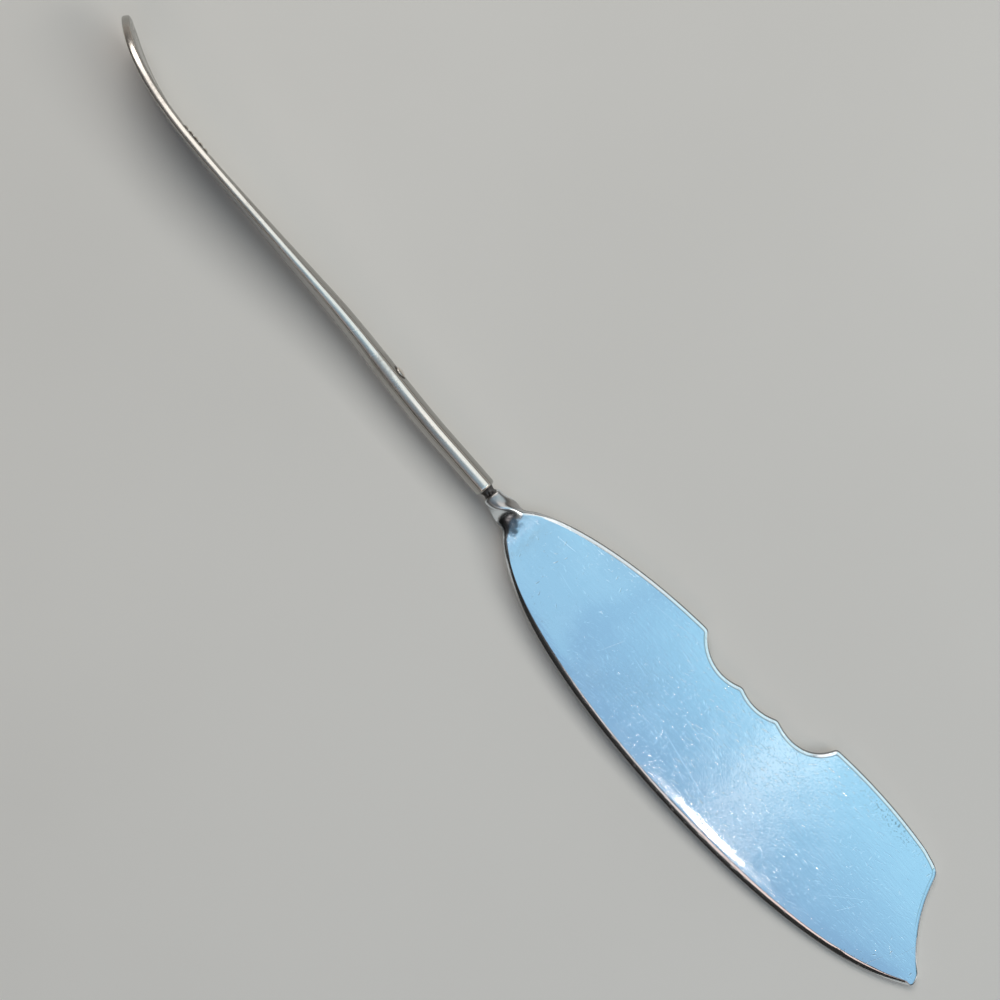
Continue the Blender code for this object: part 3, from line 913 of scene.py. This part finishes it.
# %% Dings and scratches from the drawer
def make_strokes():
    """One stroke in some of the cells of a loose honeycomb: an oval about the cell's middle, turned by the cell's own
    chance. A stroke as long as it is wide is a ding, and a long one is a scratch. Sizes are in cells."""
    group, given, out = new_group(
        "strokes",
        {
            "Place": PLACE, "Cells": number(300.0), "Length": number(0.3), "Width": number(0.05),
            "Share": number(0.5), "Turn": number(0.0), "Spread": number(2 * math.pi),
        },
        ["Mask"],
    )
    spot = new_node(group, "ShaderNodeVectorMath", operation="SCALE")
    feed(group, spot.inputs[0], given["Place"])
    feed(group, spot.inputs["Scale"], given["Cells"])
    cell = new_node(group, "ShaderNodeTexVoronoi", {"Scale": 1.0}, voronoi_dimensions="2D", feature="F1")
    feed(group, cell.inputs["Vector"], spot.outputs["Vector"])
    chance = new_node(group, "ShaderNodeSeparateColor")
    feed(group, chance.inputs["Color"], cell.outputs["Color"])
    arm = new_node(group, "ShaderNodeVectorMath", operation="SUBTRACT")
    feed(group, arm.inputs[0], spot.outputs["Vector"])
    feed(group, arm.inputs[1], cell.outputs["Position"])
    swung = new_node(group, "ShaderNodeVectorRotate", rotation_type="Z_AXIS")
    feed(group, swung.inputs["Vector"], arm.outputs["Vector"])
    off_middle = maths(group, "SUBTRACT", chance.outputs["Green"], 0.5)
    own_turn = maths(group, "MULTIPLY", off_middle, given["Spread"])
    feed(group, swung.inputs["Angle"], maths(group, "ADD", own_turn, given["Turn"]))
    parts = new_node(group, "ShaderNodeSeparateXYZ")
    feed(group, parts.inputs["Vector"], swung.outputs["Vector"])
    length = maths(group, "MULTIPLY", given["Length"], maths(group, "ADD", chance.outputs["Blue"], 0.15))
    along = maths(group, "DIVIDE", parts.outputs["X"], length)
    beside = maths(group, "DIVIDE", parts.outputs["Y"], given["Width"])
    oval = maths(group, "ADD", maths(group, "MULTIPLY", along, along), maths(group, "MULTIPLY", beside, beside))
    picked = maths(group, "LESS_THAN", chance.outputs["Red"], given["Share"])
    strength = maths(group, "MULTIPLY", picked, chance.outputs["Blue"])
    feed(group, out["Mask"], maths(group, "MULTIPLY", ramp(group, oval, 1.0, 0.0), strength, clamp=True))
    return group


strokes = make_strokes()
print("group:", strokes.name)

# %% Tarnish
def make_tarnish():
    """Soft clouds with a speckled border: a coarse noise plus a little of a fine one, lifted by the amount."""
    group, given, out = new_group(
        "tarnish", {"Place": PLACE, "Clouds": number(60.0), "Amount": number(0.0)}, ["Mask", "Speckle"]
    )
    clouds = new_node(group, "ShaderNodeTexNoise", {"Detail": 4.0, "Roughness": 0.6})
    feed(group, clouds.inputs["Vector"], given["Place"])
    feed(group, clouds.inputs["Scale"], given["Clouds"])
    speckle = new_node(group, "ShaderNodeTexNoise", {"Scale": 2600.0, "Detail": 2.0})
    feed(group, speckle.inputs["Vector"], given["Place"])
    mixed = maths(group, "MULTIPLY_ADD", speckle.outputs["Fac"], 0.25)
    feed(group, mixed.node.inputs[2], clouds.outputs["Fac"])
    feed(group, out["Mask"], ramp(group, maths(group, "ADD", mixed, given["Amount"]), 0.62, 0.9))
    feed(group, out["Speckle"], speckle.outputs["Fac"])
    return group


tarnish = make_tarnish()
print("group:", tarnish.name)

# %% [markdown]
# ## Silver
#
# Polished silver is a metal with a pale, almost neutral colour. The blade's is given a slight cool tint, a
# painted reflection of the blue light over it. The blade is satin: its face was rubbed along its length, so its
# shine is soft and streaked. The rubbing left short dashes that sparkle where a lamp nearly shows, most of all
# in the middle of the blade, which is used the most; these dashes, the hairlines and the scratches are also
# lightened in colour, a painted glint. A painted dark patch in the hollow of the neck stands for the shade and
# dark reflection of the twist, and a painted shadow runs along the outline. The bump is worked out in real
# depths: each mark has a height in thousandths of a millimetre, and the Bump node's distance is one thousandth
# of a millimetre, so the marks stay right if the light or the view changes.

# %% A silver material to build on
MICRON = 1e-6


def new_metal(name):
    """A metal material: its tree, its shader, its bump node and the place on the piece."""
    metal = bpy.data.materials.new(name)
    metal.use_nodes = True
    tree = metal.node_tree
    shader = tree.nodes["Principled BSDF"]
    shader.inputs["Metallic"].default_value = 1.0
    bump = new_node(tree, "ShaderNodeBump", {"Strength": 1.0, "Distance": MICRON})
    feed(tree, shader.inputs["Normal"], bump.outputs["Normal"])
    place = new_node(tree, "ShaderNodeTexCoord").outputs["Object"]
    return metal, tree, shader, bump, place


def use_group(tree, group, place, **values):
    """A group placed in a material with its own values."""
    made = new_node(tree, "ShaderNodeGroup", node_tree=group)
    feed(tree, made.inputs["Place"], place)
    for label, value in values.items():
        feed(tree, made.inputs[label], value)
    return made.outputs


def mesh_value(tree, label):
    """A number that the piece's mesh carries."""
    return new_node(tree, "ShaderNodeAttribute", attribute_name=label).outputs["Fac"]


def add_up(tree, *parts):
    """Sum of sockets, each times its own number."""
    total = 0.0
    for socket, amount in parts:
        total = maths(tree, "ADD", maths(tree, "MULTIPLY", socket, amount), total)
    return total


def strongest(tree, first, *others):
    """The largest of several sockets at each point."""
    for other in others:
        first = maths(tree, "MAXIMUM", first, other)
    return first


def lay_over(tree, colour, *layers):
    """Colours laid one over another: each layer has its mask, the most of it that covers, and its colour."""
    for mask, most, tint in layers:
        colour = blend(tree, maths(tree, "MULTIPLY", mask, most), colour, tint)
    return colour


# %% The marks on the blade's satin silver
LENGTHWISE = math.radians(RUBBED_ALONG)

satin, tree, shader, bump, place = new_metal("satin_silver")


def blade_strokes(cells, length, width, share, **turned):
    """Strokes on the blade: cells to the metre, then length and width in cells and the share of cells that have one."""
    return use_group(tree, strokes, place, Cells=cells, Length=length, Width=width, Share=share, **turned)["Mask"]


fine = use_group(tree, hairlines, place, Along=350.0, Across=5000.0, Patch=260.0)["Height"]
coarse = use_group(tree, hairlines, place, Along=200.0, Across=2400.0, Patch=180.0)["Height"]
grain = use_group(tree, hairlines, place, Along=2200.0, Across=3600.0, Patch=260.0)["Height"]
dashes = blade_strokes(1500.0, 0.9, 0.14, 0.45, Turn=LENGTHWISE, Spread=0.5)
long_dashes = blade_strokes(700.0, 0.6, 0.07, 0.5, Turn=LENGTHWISE, Spread=0.35)
short_dashes = blade_strokes(2200.0, 0.5, 0.16, 0.4, Turn=LENGTHWISE, Spread=3.0)
pits = blade_strokes(620.0, 0.28, 0.08, 0.5)
nicks = blade_strokes(900.0, 0.3, 0.09, 0.35)
scratch = blade_strokes(240.0, 0.6, 0.015, 0.3)
long_scratch = blade_strokes(70.0, 0.6, 0.0042, 0.5)
rubbed = strongest(tree, dashes, long_dashes, short_dashes)
marks = strongest(tree, pits, nicks, scratch, long_scratch)
lines = ramp(tree, maths(tree, "ADD", fine, coarse), 0.5, 1.1)
cloud = use_group(tree, tarnish, place, Clouds=48.0, Amount=-0.08)
dimples = new_node(tree, "ShaderNodeTexNoise", {"Scale": 900.0, "Detail": 3.0})
feed(tree, dimples.inputs["Vector"], place)
print("marks on the blade take", len(tree.nodes), "nodes")

# %% The satin silver's colour
# Silver with a slight cool tint: the tint is a painted reflection of the blue light over the blade.
BLADE_SILVER = (0.78, 0.82, 0.85, 1.0)
REFLECTED_WARM = (0.93, 0.80, 0.76, 1.0)
DULL_BROWN = (0.30, 0.27, 0.25, 1.0)
EDGE_BLACK = (0.06, 0.06, 0.065, 1.0)
GLINT_SILVER = (0.96, 0.96, 0.96, 1.0)

speck = maths(tree, "MULTIPLY", mesh_value(tree, "specks"), ramp(tree, cloud["Speckle"], 0.54, 0.66))
shaded = add_up(tree, (dimples.outputs["Fac"], 1.1), (mesh_value(tree, "neck_shade"), 1.0))
colour = lay_over(
    tree,
    BLADE_SILVER,
    (cloud["Mask"], 0.1, DULL_BROWN),
    # real hairlines, dashes and scratches, lightened in colour as a painted glint
    (lines, 0.2, GLINT_SILVER),
    (rubbed, 0.3, GLINT_SILVER),
    (marks, 0.9, GLINT_SILVER),
    # thin dark line painted along the crest of the back bevel
    (mesh_value(tree, "bevel_crest_line"), 0.75, DULL_BROWN),
    # painted warm reflection along the shoulder of the cutting edge
    (mesh_value(tree, "warm_edge_reflection"), 0.8, REFLECTED_WARM),
    (speck, 0.8, DULL_BROWN),
    # painted shadow: the outermost rim darkens towards the outline, as a contact shadow
    (ramp(tree, mesh_value(tree, "rim"), 0.72, 0.95), 0.7, DULL_BROWN),
    # painted shade in the hollow of the neck, speckled by the dimples
    (ramp(tree, shaded, 0.85, 1.35), 0.85, EDGE_BLACK),
    # painted shadow just inside the back and round the tip's hollow
    (mesh_value(tree, "outline_shadow"), 0.9, EDGE_BLACK),
)
feed(tree, shader.inputs["Base Color"], colour)
print("blade's silver:", BLADE_SILVER[:3])

# %% The satin silver's shine and depth
FACE_ROUGHNESS = 0.08
RIM_ROUGHNESS = 0.14

neck_part = mesh_value(tree, "neck")
rough = add_up(tree, (lines, 0.02), (cloud["Mask"], 0.05), (marks, 0.03), (neck_part, 0.15))
by_rim = ramp(tree, mesh_value(tree, "rim"), 0.0, 0.3, FACE_ROUGHNESS, RIM_ROUGHNESS)
feed(tree, shader.inputs["Roughness"], maths(tree, "ADD", rough, by_rim))
dents = add_up(
    tree,
    (grain, 8.0),
    (dashes, -11.0),
    (long_dashes, -13.0),
    (short_dashes, -8.0),
    (nicks, -6.0),
)
heights = add_up(
    tree,
    (fine, 5.0),
    (coarse, 6.0),
    (cloud["Speckle"], 1.5),
    (maths(tree, "MULTIPLY", dents, mesh_value(tree, "handled")), 1.0),
    (pits, -5.5),
    (scratch, -3.0),
    (long_scratch, -3.0),
    (maths(tree, "MULTIPLY", neck_part, dimples.outputs["Fac"]), 45.0),
)
feed(tree, bump.inputs["Height"], heights)
blade.data.materials.append(satin)
print("material:", satin.name, "nodes:", len(tree.nodes))

# %% The handle's polished silver
HANDLE_SILVER = (0.86, 0.81, 0.75, 1.0)
FACE_SILVER = (0.42, 0.41, 0.39, 1.0)
GROOVE_DARK = (0.10, 0.09, 0.08, 1.0)
HANDLE_ROUGHNESS = 0.22

polished, tree, shader, bump, place = new_metal("polished_silver")
fine = use_group(tree, hairlines, place, Along=160.0, Across=3600.0, Patch=200.0)["Height"]
nicks = use_group(tree, strokes, place, Cells=520.0, Length=0.3, Width=0.04, Share=0.45)["Mask"]
scratch = use_group(tree, strokes, place, Cells=210.0, Length=0.6, Width=0.012, Share=0.6)["Mask"]
in_groove, in_seat = mesh_value(tree, "groove"), mesh_value(tree, "seat")
gathered = maths(tree, "SUBTRACT", add_up(tree, (in_groove, 0.3), (in_seat, 2.7)), 0.08)
cloud = use_group(tree, tarnish, place, Clouds=90.0, Amount=gathered)
rubbed_bright = ramp(tree, mesh_value(tree, "raised"), 0.1, 0.3)
# Painted dark reflection: the handle's faces and its end are darkened, standing for the shadowed floor they mirror; the
# raised ornament is spared.
dark_faces = maths(tree, "SUBTRACT", mesh_value(tree, "face"), rubbed_bright, clamp=True)
colour = lay_over(
    tree,
    HANDLE_SILVER,
    (strongest(tree, dark_faces, mesh_value(tree, "tip")), 1.0, FACE_SILVER),
    (cloud["Mask"], 0.8, DULL_BROWN),
    (strongest(tree, in_groove, ramp(tree, in_seat, 0.02, 0.12)), 0.88, GROOVE_DARK),
)
feed(tree, shader.inputs["Base Color"], colour)
rough = add_up(tree, (fine, 0.08), (cloud["Mask"], 0.16), (scratch, 0.1))
feed(tree, shader.inputs["Roughness"], maths(tree, "ADD", rough, HANDLE_ROUGHNESS))
heights = add_up(tree, (fine, 2.0), (cloud["Speckle"], 0.8), (nicks, -3.0), (scratch, -2.0))
feed(tree, bump.inputs["Height"], heights)
handle.data.materials.append(polished)
print("material:", polished.name, "nodes:", len(tree.nodes))

# %% The solder's dull grey
SOLDER_GREY = (0.16, 0.155, 0.155, 1.0)
SOLDER_DARK = (0.045, 0.04, 0.038, 1.0)

dull, tree, shader, bump, place = new_metal("dull_solder")
cloud = use_group(tree, tarnish, place, Clouds=700.0, Amount=0.12)
pits = use_group(tree, strokes, place, Cells=1600.0, Length=0.4, Width=0.3, Share=0.6)["Mask"]
feed(tree, shader.inputs["Base Color"], blend(tree, cloud["Mask"], SOLDER_GREY, SOLDER_DARK))
feed(tree, shader.inputs["Roughness"], ramp(tree, cloud["Speckle"], 0.3, 0.7, 0.4, 0.6))
feed(tree, bump.inputs["Height"], add_up(tree, (cloud["Speckle"], 14.0), (pits, -12.0)))
solder.data.materials.append(dull)
print("material:", dull.name, "nodes:", len(tree.nodes))

# %% [markdown]
# ## Floor, light and surroundings
#
# Silver shows its surroundings, so lighting it means choosing what it mirrors. A low blue panel hangs over
# the blade, and low panels are seen by the blade alone, because the handle mirrors a place beside them. White
# panels hang over the handle, and a pale one past the back draws the light band along that edge. Two bright
# wings further out light the floor and throw the soft shadow towards the cutting edge. A narrow strip makes
# the band of glare across the blade, and two small cards make its white core at the cutting edge and wake
# the sparkle of the dashes. The rest of the room is a soft grey, and it is dark only past the cutting edge,
# so that the bevel there stays dark.

# %% A pale floor
FLOOR_SIDE = 60.0
FLOOR_DROP = 0.0001
FLOOR_PALE = (0.89, 0.865, 0.825, 1.0)
FLOOR_SHADE = (0.86, 0.835, 0.795, 1.0)

corner = FLOOR_SIDE / 2
floor_mesh = bpy.data.meshes.new("floor")
square = [(-corner, -corner), (corner, -corner), (corner, corner), (-corner, corner)]
floor_mesh.from_pydata([(*spot, -FLOOR_DROP) for spot in square], [], [(0, 1, 2, 3)])
floor = bpy.data.objects.new("floor", floor_mesh)
bpy.context.scene.collection.objects.link(floor)
paper = bpy.data.materials.new("pale_paper")
paper.use_nodes = True
tree = paper.node_tree
fibres = new_node(tree, "ShaderNodeTexNoise", {"Scale": 9.0, "Detail": 5.0})
feed(tree, fibres.inputs["Vector"], new_node(tree, "ShaderNodeTexCoord").outputs["Object"])
shader = tree.nodes["Principled BSDF"]
cloudy = ramp(tree, fibres.outputs["Fac"], 0.35, 0.65)
feed(tree, shader.inputs["Base Color"], blend(tree, cloudy, FLOOR_SHADE, FLOOR_PALE))
shader.inputs["Roughness"].default_value = 0.9
shader.inputs["Specular IOR Level"].default_value = 0.1
floor_mesh.materials.append(paper)
print("floor in metres:", FLOOR_SIDE)

# %% Soft panels of light
def ceiling(name, x_range, y_range, height, brightness, colour, turn=0.0):
    """A level lamp that faces down, given by its sides: its power is pi times its area times its brightness."""
    lamp = bpy.data.lights.new(name, "AREA")
    lamp.shape = "RECTANGLE"
    lamp.size, lamp.size_y = x_range[1] - x_range[0], y_range[1] - y_range[0]
    lamp.energy = math.pi * lamp.size * lamp.size_y * brightness
    lamp.color = colour
    hung = bpy.data.objects.new(name, lamp)
    hung.location = (sum(x_range) / 2, sum(y_range) / 2, height)
    hung.rotation_euler = (0.0, 0.0, math.radians(turn))
    bpy.context.scene.collection.objects.link(hung)
    print(name, "watts:", round(lamp.energy, 2))


WARM_WHITE = (1.0, 0.97, 0.93)
SKY_BLUE = (0.29, 0.64, 1.0)
PALE_SKY = (0.7, 0.92, 1.0)
PALE_CYAN = (0.55, 1.0, 0.92)
COOL_WHITE = (0.93, 0.99, 1.0)
GLARE = (1.0, 0.84, 0.66)
ROSY = (1.0, 0.88, 0.84)

LOW_PANEL = 0.5
LOWEST_PANEL = 0.48
HIGH_PANEL = 1.0
CARD_HEIGHT = 1.15
SPARK_HEIGHT = 1.14
STRIP_HEIGHT = 1.13

ceiling("blue_over_blade", (0.034, 0.32), (-0.19, 0.15), LOW_PANEL, 0.665, SKY_BLUE)
ceiling("cyan_over_root", (0.03, 0.085), (-0.06, 0.15), LOWEST_PANEL, 0.15, PALE_CYAN)
for name, x_range, y_range, brightness, colour in (
    ("white_over_handle", (-0.45, -0.05), (0.11, 1.0), 1.2, WARM_WHITE),
    ("white_over_neck", (-0.05, 0.05), (0.11, 0.36), 1.2, WARM_WHITE),
    ("white_over_shank", (0.05, 0.13), (0.24, 0.36), 1.2, WARM_WHITE),
    ("soft_past_neck", (-0.05, 0.13), (0.36, 1.0), 0.85, COOL_WHITE),
    ("pale_past_back", (0.13, 0.7), (0.36, 1.0), 0.97, PALE_SKY),
    ("bright_left", (-1.0, -0.45), (0.11, 1.0), 3.8, WARM_WHITE),
    ("bright_right", (0.8, 1.5), (0.2, 1.0), 3.6, WARM_WHITE),
    ("rosy_past_edge", (0.12, 0.95), (-1.0, -0.5), 0.85, ROSY),
):
    ceiling(name, x_range, y_range, HIGH_PANEL, brightness, colour)
ceiling("glare_card", (0.358, 0.376), (-0.25, -0.12), CARD_HEIGHT, 9.0, GLARE)
ceiling("spark_card", (0.362, 0.374), (-0.172, -0.152), SPARK_HEIGHT, 75.0, GLARE)
ceiling("glare_strip", (0.336, 0.374), (-0.13, 0.19), STRIP_HEIGHT, 0.42, GLARE, turn=4.0)

# %% The room: a soft grey, brighter low down, and dark past the cutting edge
ROOM_DARK = (0.025, 0.024, 0.023, 1.0)
ROOM_MID = (0.085, 0.082, 0.079, 1.0)
ROOM_LOW = (0.36, 0.335, 0.305, 1.0)
ROOM_TOP = (0.12, 0.12, 0.125, 1.0)
ROOM_SKY = (0.255, 0.405, 0.41, 1.0)

world = bpy.data.worlds.new("room")
bpy.context.scene.world = world
world.use_nodes = True
tree = world.node_tree
toward = new_node(tree, "ShaderNodeSeparateXYZ")
feed(tree, toward.inputs["Vector"], new_node(tree, "ShaderNodeTexCoord").outputs["Generated"])


def from_to(axis, *limits):
    """Share of a band of directions along one axis: the product of the rises and falls at its limits."""
    shares = [ramp(tree, toward.outputs[axis], *limit) for limit in limits]
    return shares[0] if len(shares) == 1 else maths(tree, "MULTIPLY", *shares)


dark_side = maths(tree, "MULTIPLY", from_to("Y", (-0.1, -0.35)), from_to("Z", (0.66, 0.5)))
lit_low = maths(tree, "MULTIPLY", from_to("Z", (0.36, 0.2)), from_to("Y", (-0.45, 0.1)))
over_blade = from_to("X", (0.115, 0.18), (0.5, 0.42))
past_back = from_to("Y", (-0.04, 0.14), (0.36, 0.3))
room = blend(tree, dark_side, ROOM_MID, ROOM_DARK)
room = blend(tree, lit_low, room, ROOM_LOW)
room = blend(tree, from_to("Z", (0.8, 1.0)), room, ROOM_TOP)
room = blend(tree, maths(tree, "MULTIPLY", over_blade, past_back), room, ROOM_SKY)
feed(tree, tree.nodes["Background"].inputs["Color"], room)
print("room nodes:", len(tree.nodes))

# %% Standard colours, and the end
bpy.context.scene.view_settings.view_transform = "Standard"
